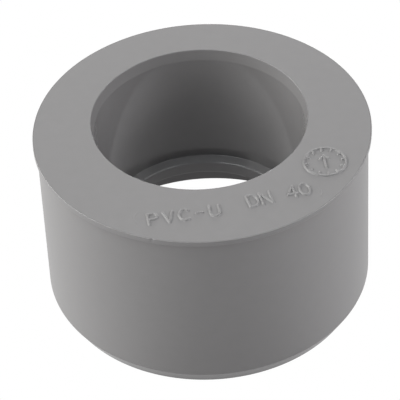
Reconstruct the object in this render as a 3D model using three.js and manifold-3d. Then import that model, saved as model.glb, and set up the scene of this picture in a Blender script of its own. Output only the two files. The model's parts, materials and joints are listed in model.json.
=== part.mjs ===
// Reducing coupling for solvent-welded PVC-U waste pipe: a 63 mm spigot outside, a 40 mm socket inside.
//
// It is one injection moulding. The skirt and its rim are turned about the spigot's axis, and the socket
// is turned about its own axis, a little off the spigot's. A web joins the two at the top, and the space
// between them is open underneath, which keeps the walls one thickness all over.
//
// Millimetres, +Z up. The origin is the centre of the spigot's open end, and +Y points the way the
// socket is offset.

import * as THREE from 'three';
import { mergeVertices } from 'three/addons/utils/BufferGeometryUtils.js';
import Module from 'manifold-3d';

const wasm = await Module();
wasm.setup();

// The spigot, its rim and its skirt.
const HEIGHT = 37.8;
const SPIGOT_RADIUS = 63 / 2;
const RIM_OVERHANG = 0.65;
const RIM_THICKNESS = 1.1;
const RIM_EDGE_RADIUS = 0.2;
const LEAD_IN_HEIGHT = 3.3;
const LEAD_IN_DEPTH = 1.9;
const SKIRT_WALL = 2.75;
const WEB_THICKNESS = 3.2;

// The socket, which narrows a little from its mouth down to the pipe stop.
const SOCKET_OFFSET = 3.2;
const MOUTH_RADIUS = 20.7;
const MOUTH_DEPTH = 2.2;
const SOCKET_TOP_RADIUS = 20.18;
const SOCKET_END_RADIUS = 20;
const SOCKET_DEPTH = 26.5;
const SOCKET_WALL = 2.7;
const STOP_RADIUS = 17.65;
const STOP_THICKNESS = 2.6;
const STOP_EDGE_RADIUS = 0.3;

// Sides of a full turn, the slope of the walls inside the skirt, and how far a cutting body runs on.
const SIDES = 120;
const DRAFT = 0.01;
const OVERRUN = 1;

// The raised marks on the top face: a material, a nominal size and a moulding date dial.
const MARK_RISE = 0.25;
const STROKE = 0.38;
const MATERIAL_MARK = { text: 'PVC-U', x: -7.2, y: -23.75, width: 13.2, height: 2.9, turn: 0 };
const SIZE_MARK = { text: 'DN 40', x: 10.8, y: -21.9, width: 11.8, height: 3.1, turn: 7 };
const DIAL = { x: 20.9, y: -14.5, radius: 3.95, ticks: 12, tickLength: 0.75, arrow: 1.7 };

// Letters are drawn in a cell one letter high, as straight strokes and parts of ellipses.
const line = (x0, y0, x1, y1) => ({ x0, y0, x1, y1 });
const arc = (x, y, halfWidth, halfHeight, from, to) => ({ x, y, halfWidth, halfHeight, from, to });
const LETTER_WIDTH = 0.6;
const LETTERS = {
  P: [line(0, 0, 0, 1), line(0, 1, 0.3, 1), arc(0.3, 0.74, 0.3, 0.26, -90, 90), line(0.3, 0.48, 0, 0.48)],
  V: [line(0, 1, 0.3, 0), line(0.3, 0, 0.6, 1)],
  C: [arc(0.36, 0.5, 0.36, 0.5, 50, 310)],
  U: [line(0, 1, 0, 0.3), arc(0.3, 0.3, 0.3, 0.3, 180, 360), line(0.6, 0.3, 0.6, 1)],
  D: [line(0, 0, 0, 1), line(0, 1, 0.2, 1), arc(0.2, 0.5, 0.4, 0.5, -90, 90), line(0.2, 0, 0, 0)],
  N: [line(0, 0, 0, 1), line(0, 1, 0.6, 0), line(0.6, 0, 0.6, 1)],
  4: [line(0.45, 0, 0.45, 1), line(0.45, 1, 0, 0.3), line(0, 0.3, 0.65, 0.3)],
  0: [arc(0.3, 0.5, 0.3, 0.5, 0, 360)],
  '-': [line(0.1, 0.5, 0.5, 0.5)],
  ' ': [],
};

// A closed three.js geometry as a solid that can be joined and cut. Points that meet are merged, and
// triangles that shrink to a line on a lathe's axis are dropped.
function toSolid(geometry) {
  geometry.deleteAttribute('normal');
  geometry.deleteAttribute('uv');
  const merged = mergeVertices(geometry);
  const corners = merged.index.array;
  const triVerts = [];
  for (let i = 0; i < corners.length; i += 3) {
    const [a, b, c] = corners.subarray(i, i + 3);
    if (a !== b && b !== c && c !== a) {
      triVerts.push(a, b, c);
    }
  }
  return new wasm.Manifold(new wasm.Mesh({
    numProp: 3,
    vertProperties: merged.attributes.position.array,
    triVerts: Uint32Array.from(triVerts),
  }));
}

// The three.js geometry of a finished solid.
function toGeometry(solid) {
  const mesh = solid.getMesh();
  const geometry = new THREE.BufferGeometry();
  geometry.setAttribute('position', new THREE.BufferAttribute(mesh.vertProperties, 3));
  geometry.setIndex(new THREE.BufferAttribute(mesh.triVerts, 1));
  geometry.computeVertexNormals();
  return geometry;
}

// A body turned about the Z axis, from an outline of [radius, height] points that runs anticlockwise.
function turned(outline) {
  const points = outline.map(([radius, height]) => new THREE.Vector2(radius, height));
  const geometry = new THREE.LatheGeometry(points, SIDES);
  geometry.rotateX(Math.PI / 2);
  return toSolid(geometry);
}

// Outline points along part of a circle, for a rounded edge.
function rounded(radius, height, size, fromDegrees, toDegrees) {
  const curve = new THREE.EllipseCurve(
    radius,
    height,
    size,
    size,
    THREE.MathUtils.degToRad(fromDegrees),
    THREE.MathUtils.degToRad(toDegrees),
    toDegrees < fromDegrees,
  );
  return curve.getPoints(2).map((point) => [point.x, point.y]);
}

// The outside of the moulding as a full body: lead-in, straight spigot, rim.
function outerBody() {
  const rimRadius = SPIGOT_RADIUS + RIM_OVERHANG;
  const edge = RIM_EDGE_RADIUS;
  return turned([
    [0, 0],
    [SPIGOT_RADIUS - LEAD_IN_DEPTH, 0],
    [SPIGOT_RADIUS, LEAD_IN_HEIGHT],
    [SPIGOT_RADIUS, HEIGHT - RIM_THICKNESS],
    [rimRadius, HEIGHT - RIM_THICKNESS],
    ...rounded(rimRadius - edge, HEIGHT - edge, edge, 0, 90),
    [0, HEIGHT],
  ]);
}

// The space inside the skirt, below the web.
function skirtCavity() {
  const radius = SPIGOT_RADIUS - SKIRT_WALL;
  const top = HEIGHT - WEB_THICKNESS;
  return turned([
    [0, -OVERRUN],
    [radius + DRAFT * OVERRUN, -OVERRUN],
    [radius - DRAFT * top, top],
    [0, top],
  ]);
}

// The outside of the socket's tube, from the underside of the pipe stop up into the web.
function socketTube() {
  const bottom = HEIGHT - SOCKET_DEPTH - STOP_THICKNESS;
  const top = HEIGHT - WEB_THICKNESS / 2;
  const radius = SOCKET_END_RADIUS + SOCKET_WALL;
  const edge = STOP_EDGE_RADIUS;
  return turned([
    [0, bottom],
    ...rounded(radius - edge, bottom + edge, edge, -90, 0),
    [radius + DRAFT * (top - bottom), top],
    [0, top],
  ]);
}

// The way through: the water-way through the pipe stop, the socket and its mouth. The stop's two inner
// edges are rounded.
function socketBore() {
  const stop = HEIGHT - SOCKET_DEPTH;
  const edge = STOP_EDGE_RADIUS;
  const roundCentre = STOP_RADIUS + edge;
  return turned([
    [0, -OVERRUN],
    [roundCentre, -OVERRUN],
    ...rounded(roundCentre, stop - STOP_THICKNESS + edge, edge, 270, 180),
    ...rounded(roundCentre, stop - edge, edge, 180, 90),
    [SOCKET_END_RADIUS, stop],
    [SOCKET_TOP_RADIUS, HEIGHT - MOUTH_DEPTH],
    [MOUTH_RADIUS, HEIGHT],
    [MOUTH_RADIUS, HEIGHT + OVERRUN],
    [0, HEIGHT + OVERRUN],
  ]);
}

// A straight stroke of a mark, half sunk into the top face.
function straightStroke({ x0, y0, x1, y1 }) {
  const length = Math.hypot(x1 - x0, y1 - y0);
  const geometry = new THREE.BoxGeometry(length + STROKE, STROKE, 2 * MARK_RISE);
  geometry.rotateZ(Math.atan2(y1 - y0, x1 - x0));
  geometry.translate((x0 + x1) / 2, (y0 + y1) / 2, 0);
  return toSolid(geometry);
}

// A curved stroke: a band of an ellipse, or a whole ring where it goes all the way round.
function curvedStroke({ x, y, halfWidth, halfHeight, from, to }) {
  const side = (grow) => new THREE.EllipseCurve(
    x,
    y,
    halfWidth + grow,
    halfHeight + grow,
    THREE.MathUtils.degToRad(from),
    THREE.MathUtils.degToRad(to),
  ).getPoints(Math.ceil((to - from) / 15));
  const outer = side(STROKE / 2);
  const inner = side(-STROKE / 2);
  const whole = to - from === 360;
  const shape = new THREE.Shape(whole ? outer : [...outer, ...inner.reverse()]);
  if (whole) {
    shape.holes.push(new THREE.Path(inner));
  }
  const geometry = new THREE.ExtrudeGeometry(shape, { depth: 2 * MARK_RISE, bevelEnabled: false });
  geometry.translate(0, 0, -MARK_RISE);
  return toSolid(geometry);
}

// A mark's strokes joined, turned and put on the top face.
function mark(strokes, { x, y, turn = 0 }) {
  const solids = strokes.map((stroke) => ('from' in stroke ? curvedStroke(stroke) : straightStroke(stroke)));
  return wasm.Manifold.union(solids).rotate([0, 0, turn]).translate([x, y, HEIGHT]);
}

// The strokes of a line of text in millimetres, centred on the origin.
function textStrokes({ text, width, height }) {
  const pitch = (width - LETTER_WIDTH * height) / (text.length - 1);
  return [...text].flatMap((letter, place) => {
    const left = place * pitch - width / 2;
    const bottom = -height / 2;
    return LETTERS[letter].map((stroke) => ('from' in stroke
      ? arc(
        left + stroke.x * height,
        bottom + stroke.y * height,
        stroke.halfWidth * height,
        stroke.halfHeight * height,
        stroke.from,
        stroke.to,
      )
      : line(
        left + stroke.x0 * height,
        bottom + stroke.y0 * height,
        left + stroke.x1 * height,
        bottom + stroke.y1 * height,
      )));
  });
}

// The strokes of the date dial: a ring, a tick for each month and an arrow.
function dialStrokes({ radius, ticks, tickLength, arrow }) {
  const strokes = [arc(0, 0, radius, radius, 0, 360)];
  for (let tick = 0; tick < ticks; tick += 1) {
    const angle = (tick / ticks) * 2 * Math.PI;
    const [x, y] = [Math.cos(angle), Math.sin(angle)];
    strokes.push(line((radius - tickLength) * x, (radius - tickLength) * y, radius * x, radius * y));
  }
  strokes.push(line(0, -arrow, 0, arrow));
  strokes.push(line(0, arrow, -arrow / 2, arrow / 2));
  strokes.push(line(0, arrow, arrow / 2, arrow / 2));
  return strokes;
}

function reducerBody() {
  const body = outerBody()
    .subtract(skirtCavity())
    .add(socketTube().translate([0, SOCKET_OFFSET, 0]))
    .subtract(socketBore().translate([0, SOCKET_OFFSET, 0]))
    .add(mark(textStrokes(MATERIAL_MARK), MATERIAL_MARK))
    .add(mark(textStrokes(SIZE_MARK), SIZE_MARK))
    .add(mark(dialStrokes(DIAL), DIAL));
  const material = new THREE.MeshStandardMaterial({ color: 0x85868a, roughness: 0.5, metalness: 0 });
  const mesh = new THREE.Mesh(toGeometry(body), material);
  mesh.name = 'reducer_body';
  return mesh;
}

const reducingCoupling = new THREE.Group();
reducingCoupling.add(reducerBody());

export default reducingCoupling;
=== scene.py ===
"""Looks for a moulded PVC-U reducing coupling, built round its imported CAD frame.

The whole moulding is one closed surface: its outline is carried right round, and each of the outline's
points turns about the spigot's axis, the socket's, or one between them. The raised marks are lifted out of
the top face.
Lengths are in millimetres unless a name ends in _m, and objects are placed in metres.
"""

import json
import math

import bpy
import numpy as np
from mathutils import Matrix, Vector


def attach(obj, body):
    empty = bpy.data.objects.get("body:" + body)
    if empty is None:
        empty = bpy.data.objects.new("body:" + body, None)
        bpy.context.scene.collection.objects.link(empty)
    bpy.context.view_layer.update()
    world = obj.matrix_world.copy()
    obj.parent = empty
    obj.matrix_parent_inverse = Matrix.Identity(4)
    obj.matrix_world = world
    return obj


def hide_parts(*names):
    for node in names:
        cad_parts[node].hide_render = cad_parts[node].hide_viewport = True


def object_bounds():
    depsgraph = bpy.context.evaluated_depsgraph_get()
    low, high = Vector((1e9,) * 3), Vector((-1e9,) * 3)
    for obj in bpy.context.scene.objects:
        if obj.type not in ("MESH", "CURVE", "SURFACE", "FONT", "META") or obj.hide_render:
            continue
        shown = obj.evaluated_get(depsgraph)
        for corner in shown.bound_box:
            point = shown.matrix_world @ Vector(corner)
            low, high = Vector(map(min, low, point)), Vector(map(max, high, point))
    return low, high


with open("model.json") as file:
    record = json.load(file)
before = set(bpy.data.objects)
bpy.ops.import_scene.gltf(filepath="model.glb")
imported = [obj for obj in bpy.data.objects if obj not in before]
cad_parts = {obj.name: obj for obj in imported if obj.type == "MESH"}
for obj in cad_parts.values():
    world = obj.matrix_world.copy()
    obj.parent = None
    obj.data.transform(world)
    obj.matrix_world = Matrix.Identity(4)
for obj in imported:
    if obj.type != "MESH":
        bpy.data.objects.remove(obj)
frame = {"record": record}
cad_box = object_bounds()

MM = 0.001

# Sizes and places that the CAD frame gives.
MOUNTS = {mount["name"]: np.array(mount["pos_m"]) / MM for mount in frame["record"]["mounts"]}
RIM_RADIUS = cad_box[1].x / MM
TOP = MOUNTS["top_face"][2]
RIM_UNDERSIDE = MOUNTS["rim_shoulder"][2]
STOP_TOP = MOUNTS["pipe_stop"][2]
SOCKET_OFFSET = MOUNTS["pipe_stop"][1]
MARK_RISE = cad_box[1].z / MM - TOP

# The spigot and its hollow skirt, about the Z axis.
SPIGOT_RADIUS = 31.5
LEAD_IN_HEIGHT = 3.3
LEAD_IN_DEPTH = 1.9
SKIRT_WALL = 2.75
WEB_THICKNESS = 3.2
WEB_UNDERSIDE = TOP - WEB_THICKNESS
DRAFT = 0.01

# The socket, about its own axis.
MOUTH_RADIUS = 20.7
MOUTH_DEPTH = 2.2
SOCKET_TOP_RADIUS = 20.18
SOCKET_END_RADIUS = 20.0
SOCKET_WALL = 2.7
STOP_RADIUS = 17.65
STOP_THICKNESS = 2.6
STOP_UNDERSIDE = STOP_TOP - STOP_THICKNESS

# How far the outline's corners are rounded: sharp ones, soft ones, and those with a rounding of their own.
SHARP = 0.12
SOFT = 0.8
RIM_UNDERSIDE_EDGE = 0.2
SPIGOT_END_EDGE = 0.3
SKIRT_END_EDGE = 0.15
STOP_EDGE = 0.35
STOP_ROOT = 0.08
TUBE_END_EDGE = 0.5
MOUTH_BLEND = 1.2

# The surface's points: steps round each corner of the outline, how far the straight walls are held flat
# next to it, and degrees from one copy of the outline to the next.
CORNER_STEPS = 6
HOLD = 0.06
TURN_STEP = 2

# The rim and the top face are finer where the marks are: each step round is split in the marked sector,
# which is in degrees, and the rings lie close together in the marked band. The band and the first ring,
# where the rim's finish ends, are given as shares of the way from the rim to the mouth.
SPLIT_RINGS = ("rim_below", "rim_above", "top_face")
MARKED_SECTOR = (-126, -28)
SPLIT = 10
MARKED_BAND = (0.13, 0.83)
MARKED_RINGS = 98
PLAIN_RINGS = 3
FIRST_RING = 0.005


# ---------------------------------------------------------------- the moulding's outline


def outline_corners():
    """The corners of the closed outline, up the outside, over the top, down the bore and back underneath:
    name, radius, height, how far the axis is offset, and the rounding."""
    tube_radius = SOCKET_END_RADIUS + SOCKET_WALL
    tube_root_radius = tube_radius + DRAFT * (WEB_UNDERSIDE - STOP_UNDERSIDE)
    skirt_radius = SPIGOT_RADIUS - SKIRT_WALL
    return [
        ("end_outside", SPIGOT_RADIUS - LEAD_IN_DEPTH, 0, 0, SPIGOT_END_EDGE),
        ("lead_in", SPIGOT_RADIUS, LEAD_IN_HEIGHT, 0, SOFT),
        ("under_rim", SPIGOT_RADIUS, RIM_UNDERSIDE, 0, SHARP),
        ("rim_below", RIM_RADIUS, RIM_UNDERSIDE, 0, RIM_UNDERSIDE_EDGE),
        ("rim_above", RIM_RADIUS, TOP, 0, SHARP),
        ("mouth", MOUTH_RADIUS, TOP, SOCKET_OFFSET, SHARP),
        ("mouth_end", SOCKET_TOP_RADIUS, TOP - MOUTH_DEPTH, SOCKET_OFFSET, MOUTH_BLEND),
        ("stop_root", SOCKET_END_RADIUS, STOP_TOP, SOCKET_OFFSET, STOP_ROOT),
        ("stop_above", STOP_RADIUS, STOP_TOP, SOCKET_OFFSET, STOP_EDGE),
        ("stop_below", STOP_RADIUS, STOP_UNDERSIDE, SOCKET_OFFSET, STOP_EDGE),
        ("tube_end", tube_radius, STOP_UNDERSIDE, SOCKET_OFFSET, TUBE_END_EDGE),
        ("tube_root", tube_root_radius, WEB_UNDERSIDE, SOCKET_OFFSET, SOFT),
        ("skirt_root", skirt_radius - DRAFT * WEB_UNDERSIDE, WEB_UNDERSIDE, 0, SOFT),
        ("end_inside", skirt_radius, 0, 0, SKIRT_END_EDGE),
    ]


def rounded_corner(before, here, after, rounding):
    """Radius and height of the points round one corner, with one more at each end on the straight wall."""
    back = (before - here) / np.linalg.norm(before - here)
    ahead = (after - here) / np.linalg.norm(after - here)
    half_angle = math.acos(np.clip(back @ ahead, -1, 1)) / 2
    reach = rounding / math.tan(half_angle)
    middle = here + (back + ahead) / np.linalg.norm(back + ahead) * rounding / math.sin(half_angle)
    start = here + back * reach - middle
    end = here + ahead * reach - middle
    sweep = math.pi - 2 * half_angle
    share = np.linspace(0, 1, CORNER_STEPS + 1)[:, None]
    bend = middle + (start * np.sin((1 - share) * sweep) + end * np.sin(share * sweep)) / math.sin(sweep)
    return [here + back * (reach + HOLD), *bend, here + ahead * (reach + HOLD)]


def ring_shares():
    """How far each ring of the top face lies on the way from the rim to the mouth."""
    band_from, band_to = MARKED_BAND
    outside = np.linspace(FIRST_RING, band_from, PLAIN_RINGS, endpoint=False)
    inside = np.linspace(band_to, 1, PLAIN_RINGS + 2)[1:-1]
    return np.concatenate([outside, np.linspace(band_from, band_to, MARKED_RINGS), inside])


def outline():
    """The outline's points as rows of radius, height and offset, and the name of each row's corner."""
    corners = outline_corners()
    rows, names = [], []
    for place, (name, radius, height, offset, rounding) in enumerate(corners):
        before = np.array(corners[place - 1][1:3])
        after = np.array(corners[(place + 1) % len(corners)][1:3])
        if name == "mouth":
            rim_edge = rows[-1]
        for point in rounded_corner(before, np.array([radius, height]), after, rounding):
            rows.append(np.array([*point, offset]))
            names.append(name)
    across = ring_shares()[:, None]
    first = names.index("mouth")
    rows[first:first] = list(rim_edge + across * (rows[first] - rim_edge))
    names[first:first] = ["top_face"] * len(across)
    return np.array(rows), names


def turns_and_splits(is_fine):
    """The directions of a ring's points, in radians, and how many points each step round has."""
    starts = np.arange(MARKED_SECTOR[0], MARKED_SECTOR[0] + 360, TURN_STEP)
    splits = np.where(is_fine & (starts < MARKED_SECTOR[1]), SPLIT, 1)
    turns = [start + TURN_STEP * np.arange(split) / split for start, split in zip(starts, splits)]
    return np.radians(np.concatenate(turns)), splits


# ---------------------------------------------------------------- the marks on the top face

STROKE = 0.38
STROKE_EDGE = 0.08
ARC_STEP = 10
MATERIAL_MARK = {"text": "PVC-U", "at": (-7.2, -23.75), "width": 13.2, "height": 2.9, "turn": 0}
SIZE_MARK = {"text": "DN 40", "at": (10.8, -21.9), "width": 11.8, "height": 3.1, "turn": 7}
DIAL = {"at": (20.9, -14.5), "radius": 3.95, "ticks": 12, "tick": 0.75, "arrow": 1.7}
LETTER_WIDTH = 0.6

# The faint ends of the mould's engraved insert, and the small nick in the rim's edge.
INSERT_ENDS = [
    {"at": (-14.0, -23.0), "radius": 2.2, "from": 124, "to": 213},
    {"at": (17.2, -22.4), "radius": 1.6, "from": -60, "to": 43},
]
INSERT_RISE = 0.04
INSERT_LINE = 0.16
NICK_TURN = -115.7
NICK_WIDTH = 0.55
NICK_DEPTH = 0.16


def line(x0, y0, x1, y1):
    """A straight stroke, as its two ends."""
    return np.array([[x0, y0], [x1, y1]], float)


def arc(x, y, half_width, half_height, start, end):
    """A curved stroke: part of an ellipse, in degrees, as a chain of points."""
    turn = np.radians(np.linspace(start, end, math.ceil((end - start) / ARC_STEP) + 1))
    return np.column_stack([x + half_width * np.cos(turn), y + half_height * np.sin(turn)])


# Letters are drawn in a cell one letter high.
LETTERS = {
    "P": [
        line(0, 0, 0, 1),
        line(0, 1, 0.3, 1),
        arc(0.3, 0.74, 0.3, 0.26, -90, 90),
        line(0.3, 0.48, 0, 0.48),
    ],
    "V": [line(0, 1, 0.3, 0), line(0.3, 0, 0.6, 1)],
    "C": [arc(0.36, 0.5, 0.36, 0.5, 50, 310)],
    "U": [line(0, 1, 0, 0.3), arc(0.3, 0.3, 0.3, 0.3, 180, 360), line(0.6, 0.3, 0.6, 1)],
    "D": [line(0, 0, 0, 1), line(0, 1, 0.2, 1), arc(0.2, 0.5, 0.4, 0.5, -90, 90), line(0.2, 0, 0, 0)],
    "N": [line(0, 0, 0, 1), line(0, 1, 0.6, 0), line(0.6, 0, 0.6, 1)],
    "4": [line(0.45, 0, 0.45, 1), line(0.45, 1, 0, 0.3), line(0, 0.3, 0.65, 0.3)],
    "0": [arc(0.3, 0.5, 0.3, 0.5, 0, 360)],
    "-": [line(0.1, 0.5, 0.5, 0.5)],
    " ": [],
}


def placed(strokes, at, turn):
    """Strokes turned by an angle in degrees and moved to their place on the top face."""
    cos, sin = math.cos(math.radians(turn)), math.sin(math.radians(turn))
    rotation = np.array([[cos, sin], [-sin, cos]])
    return [stroke @ rotation + np.array(at) for stroke in strokes]


def text_strokes(mark):
    """The strokes of a line of text, at their place on the top face."""
    pitch = (mark["width"] - LETTER_WIDTH * mark["height"]) / (len(mark["text"]) - 1)
    strokes = []
    for place, letter in enumerate(mark["text"]):
        corner_at = np.array([place * pitch - mark["width"] / 2, -mark["height"] / 2])
        strokes.extend(stroke * mark["height"] + corner_at for stroke in LETTERS[letter])
    return placed(strokes, mark["at"], mark["turn"])


def dial_strokes():
    """The date dial: a ring, a tick for each month, and an arrow."""
    radius, inner, arrow = DIAL["radius"], DIAL["radius"] - DIAL["tick"], DIAL["arrow"]
    strokes = [arc(0, 0, radius, radius, 0, 360)]
    for tick in range(DIAL["ticks"]):
        angle = 2 * math.pi * tick / DIAL["ticks"]
        x, y = math.cos(angle), math.sin(angle)
        strokes.append(line(inner * x, inner * y, radius * x, radius * y))
    strokes.append(line(0, -arrow, 0, arrow))
    strokes.append(line(0, arrow, -arrow / 2, arrow / 2))
    strokes.append(line(0, arrow, arrow / 2, arrow / 2))
    return placed(strokes, DIAL["at"], 0)


def distance_to_strokes(points, strokes):
    """Each point's distance to the nearest stroke's centre line."""
    nearest = np.full(len(points), np.inf)
    for stroke in strokes:
        for start, end in zip(stroke[:-1], stroke[1:]):
            along = end - start
            share = np.clip((points - start) @ along / (along @ along), 0, 1)
            nearest = np.minimum(nearest, np.linalg.norm(points - start - share[:, None] * along, axis=1))
    return nearest


def smooth_step(share):
    """A smooth change from 0 to 1."""
    share = np.clip(share, 0, 1)
    return share * share * (3 - 2 * share)


def raised(points, strokes, width, rise):
    """How far soft-edged strokes lift each point."""
    outside = distance_to_strokes(points, strokes) - width / 2
    return rise * (1 - smooth_step(outside / STROKE_EDGE + 0.5))


def mark_height(points):
    """How far the marks and the insert's ends lift each point of the top face."""
    strokes = text_strokes(MATERIAL_MARK) + text_strokes(SIZE_MARK) + dial_strokes()
    ends = [arc(*end["at"], end["radius"], end["radius"], end["from"], end["to"]) for end in INSERT_ENDS]
    marks = raised(points, strokes, STROKE, MARK_RISE)
    return np.maximum(marks, raised(points, ends, INSERT_LINE, INSERT_RISE))


def nick_depth(turns):
    """How deep the nick cuts into the rim's edge in each direction."""
    away = RIM_RADIUS * (turns - math.radians(NICK_TURN))
    return NICK_DEPTH * np.exp(-((2 * away / NICK_WIDTH) ** 2))


# ---------------------------------------------------------------- the mesh


def ring_points(name, radius, height, offset, turns):
    """One ring of the moulding's surface."""
    if name == "rim_above":
        radius = np.minimum(radius, RIM_RADIUS - nick_depth(turns))
    x = radius * np.cos(turns)
    y = radius * np.sin(turns) + offset
    ring = np.column_stack([x, y, np.full(len(turns), height)])
    if name == "top_face":
        ring[:, 2] += mark_height(ring[:, :2])
    return ring


def ring_steps(first, splits):
    """The numbers of a closed ring's points, step by step, with both ends of each step."""
    numbers = [*range(first, first + splits.sum()), first]
    ends = np.cumsum([0, *splits])
    return [numbers[start:end + 1] for start, end in zip(ends[:-1], ends[1:])]


def faces_between(steps, next_steps):
    """The faces that join two rings. A step that is split in only one of them gets a single face."""
    faces = []
    for here, there in zip(steps, next_steps):
        if len(here) == len(there):
            for place in range(len(here) - 1):
                faces.append((here[place], here[place + 1], there[place + 1], there[place]))
        else:
            faces.append((*here, *reversed(there)))
    return faces


def moulding_mesh():
    """The closed surface of the moulding: rings that follow its outline, each joined to the next."""
    rows, names = outline()
    points, rings = [], []
    for name, (radius, height, offset) in zip(names, rows):
        turns, splits = turns_and_splits(name in SPLIT_RINGS)
        rings.append(ring_steps(len(points), splits))
        points.extend(ring_points(name, radius, height, offset, turns) * MM)
    faces, finishes = [], []
    for place, name in enumerate(names):
        joined = faces_between(rings[place], rings[(place + 1) % len(rings)])
        faces.extend(joined)
        finishes.extend([finish_from(name)] * len(joined))
    mesh = bpy.data.meshes.new("reducer_moulding")
    mesh.from_pydata(np.array(points).tolist(), [], faces)
    mesh.shade_smooth()
    mesh.polygons.foreach_set("material_index", finishes)
    return mesh


# ---------------------------------------------------------------- materials

# The finishes, and the corners of the outline from which each of them runs, to the next corner or to the top
# face's first ring. The socket and its stop are shaped by the mould's polished core, and the rim's edge and
# both lead-ins are smoothed a little. Everything else is as moulded.
FINISHES = [
    {
        "name": "grey_pvc_moulded",
        "roughness": 0.4,
        "grain_height": 0.004,
        "corners": (),
    },
    {
        "name": "grey_pvc_polished",
        "roughness": 0.09,
        "grain_height": 0.0005,
        "corners": ("mouth_end", "stop_root", "stop_above", "stop_below"),
    },
    {
        "name": "grey_pvc_smoothed",
        "roughness": 0.18,
        "grain_height": 0.001,
        "corners": ("end_outside", "rim_above", "mouth"),
    },
]
AS_MOULDED = 0
GREY = np.array([0.2225, 0.2160, 0.2195])
MOTTLE_SIZE_M = 0.0022
MOTTLE_DEPTH = 0.03
GRAIN_SIZE_M = 0.0003


def finish_from(corner):
    """The number of the finish that runs from a corner of the outline."""
    for number, finish in enumerate(FINISHES):
        if corner in finish["corners"]:
            return number
    return AS_MOULDED


def noise(nodes, links, place, size_m):
    """Soft noise with blobs of about the given size."""
    texture = nodes.new("ShaderNodeTexNoise")
    texture.inputs["Scale"].default_value = 1 / size_m
    links.new(place.outputs["Object"], texture.inputs["Vector"])
    return texture


def grey_pvc(finish):
    """Grey PVC-U, slightly mottled, with the fine grain that the mould leaves."""
    material = bpy.data.materials.new(finish["name"])
    material.use_nodes = True
    nodes, links = material.node_tree.nodes, material.node_tree.links
    surface = nodes["Principled BSDF"]
    place = nodes.new("ShaderNodeTexCoord")

    mottle = noise(nodes, links, place, MOTTLE_SIZE_M)
    tone = nodes.new("ShaderNodeMix")
    tone.data_type = "RGBA"
    links.new(mottle.outputs["Fac"], tone.inputs["Factor"])
    tone.inputs["A"].default_value = (*(GREY * (1 - MOTTLE_DEPTH)), 1)
    tone.inputs["B"].default_value = (*(GREY * (1 + MOTTLE_DEPTH)), 1)
    links.new(tone.outputs["Result"], surface.inputs["Base Color"])

    gloss = nodes.new("ShaderNodeMapRange")
    links.new(mottle.outputs["Fac"], gloss.inputs["Value"])
    gloss.inputs["To Min"].default_value = finish["roughness"] * (1 - MOTTLE_DEPTH)
    gloss.inputs["To Max"].default_value = finish["roughness"] * (1 + MOTTLE_DEPTH)
    links.new(gloss.outputs["Result"], surface.inputs["Roughness"])

    grain = noise(nodes, links, place, GRAIN_SIZE_M)
    bump = nodes.new("ShaderNodeBump")
    bump.inputs["Distance"].default_value = finish["grain_height"] * MM
    links.new(grain.outputs["Fac"], bump.inputs["Height"])
    links.new(bump.outputs["Normal"], surface.inputs["Normal"])
    return material


# ---------------------------------------------------------------- stage, lights and camera

CAMERA_DISTANCE = 506.0
CAMERA_AZIMUTH = -7.364
CAMERA_ELEVATION = 39.95
CAMERA_PAN = 0.12
CAMERA_TILT = -1.54
CAMERA_ROLL = 3.0
CAMERA_LENS = 240.3
SENSOR = 36.0

# The softboxes as the part sees them: the way to each in degrees round from +X and degrees up, its width
# and height in degrees, its brightness, where 1 is a white page, and its tint.
SOFTBOX_DISTANCE_M = 0.6
SOFTBOX_AIM_M = Vector((0, 0, 0.02))
WARM = (1.0, 1.005, 0.975)
PLAIN = (1.0, 1.0, 1.0)
COOL = (0.95, 1.0, 1.01)
SOFTBOXES = {
    "left_low": (175, 13, 60, 26, 3.2, WARM),
    "left_high": (165, 40, 60, 26, 6.1, WARM),
    "right_front": (325, 13, 40, 26, 2.3, PLAIN),
    "right_high": (0, 38, 50, 24, 4.7, PLAIN),
    "back": (75, 10, 40, 18, 5.7, PLAIN),
    "front": (268, 22, 60, 14, 0.65, PLAIN),
    "overhead_left": (190, 71, 18, 18, 6.0, COOL),
    "overhead_right": (342, 70, 18, 18, 4.3, COOL),
}

# How brightly the floor lights the part: around it, under it where the part shades the floor, and how much
# brighter it is to the left and right, towards the softboxes.
FLOOR_HALF_WIDTH_M = 3.0
FLOOR_GLOW = 0.61
SHADED_GLOW = 0.34
SHADED_RADIUS = SPIGOT_RADIUS - SKIRT_WALL
SIDE_GLOW = 0.26
SIDE_FROM = 8
SIDE_TO = 35


def turned_about(vector, axis, degrees):
    """A vector turned about an axis through the origin."""
    return Matrix.Rotation(math.radians(degrees), 3, axis) @ vector


def add_camera():
    """The camera, aimed at the middle of the top face and then panned, tilted and rolled a little."""
    azimuth, elevation = math.radians(CAMERA_AZIMUTH), math.radians(CAMERA_ELEVATION)
    back = Vector((
        math.sin(azimuth) * math.cos(elevation),
        -math.cos(azimuth) * math.cos(elevation),
        math.sin(elevation),
    ))
    ahead = -back
    right = Vector((math.cos(azimuth), math.sin(azimuth), 0))
    up = right.cross(ahead)
    ahead, right = turned_about(ahead, up, CAMERA_PAN), turned_about(right, up, CAMERA_PAN)
    ahead, up = turned_about(ahead, right, CAMERA_TILT), turned_about(up, right, CAMERA_TILT)
    right, up = turned_about(right, ahead, CAMERA_ROLL), turned_about(up, ahead, CAMERA_ROLL)
    data = bpy.data.cameras.new("camera")
    data.lens = CAMERA_LENS
    data.sensor_width = SENSOR
    camera = bpy.data.objects.new("camera", data)
    place = (Vector((0, 0, TOP)) + back * CAMERA_DISTANCE) * MM
    camera.matrix_world = Matrix.Translation(place) @ Matrix((right, up, -ahead)).transposed().to_4x4()
    bpy.context.scene.collection.objects.link(camera)
    bpy.context.scene.camera = camera


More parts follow.
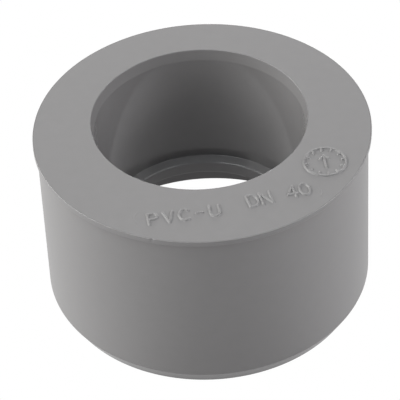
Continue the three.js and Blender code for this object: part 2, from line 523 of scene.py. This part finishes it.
def add_softboxes():
    """Plain rectangular softboxes, out of the camera's sight, all facing the part."""
    for name, (azimuth, elevation, width, height, brightness, tint) in SOFTBOXES.items():
        azimuth, elevation = math.radians(azimuth), math.radians(elevation)
        towards = Vector((
            math.cos(azimuth) * math.cos(elevation),
            math.sin(azimuth) * math.cos(elevation),
            math.sin(elevation),
        ))
        data = bpy.data.lights.new(name, "AREA")
        data.shape = "RECTANGLE"
        data.size = 2 * SOFTBOX_DISTANCE_M * math.tan(math.radians(width / 2))
        data.size_y = 2 * SOFTBOX_DISTANCE_M * math.tan(math.radians(height / 2))
        data.energy = math.pi * data.size * data.size_y * brightness
        data.color = tint
        softbox = bpy.data.objects.new(name, data)
        softbox.rotation_mode = "QUATERNION"
        softbox.rotation_quaternion = towards.to_track_quat("Z", "Y")
        softbox.location = towards * SOFTBOX_DISTANCE_M + SOFTBOX_AIM_M
        softbox.visible_camera = False
        bpy.context.scene.collection.objects.link(softbox)


def seen_by_camera(nodes, links, output, to_camera, to_part):
    """Joins a surface that the camera sees to one that lights the part."""
    path = nodes.new("ShaderNodeLightPath")
    mix = nodes.new("ShaderNodeMixShader")
    links.new(path.outputs["Is Camera Ray"], mix.inputs["Fac"])
    links.new(to_part.outputs[0], mix.inputs[1])
    links.new(to_camera.outputs[0], mix.inputs[2])
    links.new(mix.outputs[0], output.inputs["Surface"])


def ramp(nodes, links, value, start, end, low, high):
    """A smooth change from low to high as a length goes from start to end, which are in millimetres."""
    change = nodes.new("ShaderNodeMapRange")
    change.interpolation_type = "SMOOTHSTEP"
    links.new(value, change.inputs["Value"])
    change.inputs["From Min"].default_value = start * MM
    change.inputs["From Max"].default_value = end * MM
    change.inputs["To Min"].default_value = low
    change.inputs["To Max"].default_value = high
    return change


def add_floor():
    """A plain white floor without a shadow where the camera sees it, which sends a softer light up to the
    part, with painted shade under the part and painted light to the left and right.
    """
    half = FLOOR_HALF_WIDTH_M
    corners = [(-half, -half, 0), (half, -half, 0), (half, half, 0), (-half, half, 0)]
    mesh = bpy.data.meshes.new("floor")
    mesh.from_pydata(corners, [], [(0, 1, 2, 3)])
    floor = bpy.data.objects.new("floor", mesh)
    bpy.context.scene.collection.objects.link(floor)
    material = bpy.data.materials.new("floor_white")
    material.use_nodes = True
    nodes, links = material.node_tree.nodes, material.node_tree.links
    nodes.remove(nodes["Principled BSDF"])
    white = nodes.new("ShaderNodeEmission")
    glow = nodes.new("ShaderNodeEmission")
    place = nodes.new("ShaderNodeTexCoord")
    from_axis = nodes.new("ShaderNodeVectorMath")
    from_axis.operation = "LENGTH"
    links.new(place.outputs["Object"], from_axis.inputs[0])
    away = from_axis.outputs["Value"]
    shaded = ramp(nodes, links, away, SHADED_RADIUS, SPIGOT_RADIUS, SHADED_GLOW, FLOOR_GLOW)
    split = nodes.new("ShaderNodeSeparateXYZ")
    links.new(place.outputs["Object"], split.inputs[0])
    sideways = nodes.new("ShaderNodeMath")
    sideways.operation = "ABSOLUTE"
    links.new(split.outputs["X"], sideways.inputs[0])
    sides = ramp(nodes, links, sideways.outputs[0], SIDE_FROM, SIDE_TO, 0, SIDE_GLOW)
    total = nodes.new("ShaderNodeMath")
    links.new(shaded.outputs["Result"], total.inputs[0])
    links.new(sides.outputs["Result"], total.inputs[1])
    links.new(total.outputs[0], glow.inputs["Strength"])
    seen_by_camera(nodes, links, nodes["Material Output"], white, glow)
    mesh.materials.append(material)


def add_world():
    """A plain white backdrop, which doesn't light the part."""
    world = bpy.data.worlds.new("studio")
    world.use_nodes = True
    nodes, links = world.node_tree.nodes, world.node_tree.links
    white = nodes["Background"]
    white.inputs["Color"].default_value = (1, 1, 1, 1)
    dark = nodes.new("ShaderNodeBackground")
    dark.inputs["Strength"].default_value = 0
    seen_by_camera(nodes, links, nodes["World Output"], white, dark)
    bpy.context.scene.world = world


# ---------------------------------------------------------------- the scene

moulding = bpy.data.objects.new("reducer_moulding", moulding_mesh())
bpy.context.scene.collection.objects.link(moulding)
for finish in FINISHES:
    moulding.data.materials.append(grey_pvc(finish))
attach(moulding, "root")
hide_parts("reducer_body")

add_softboxes()
add_floor()
add_world()
add_camera()
bpy.context.scene.view_settings.view_transform = "Standard"
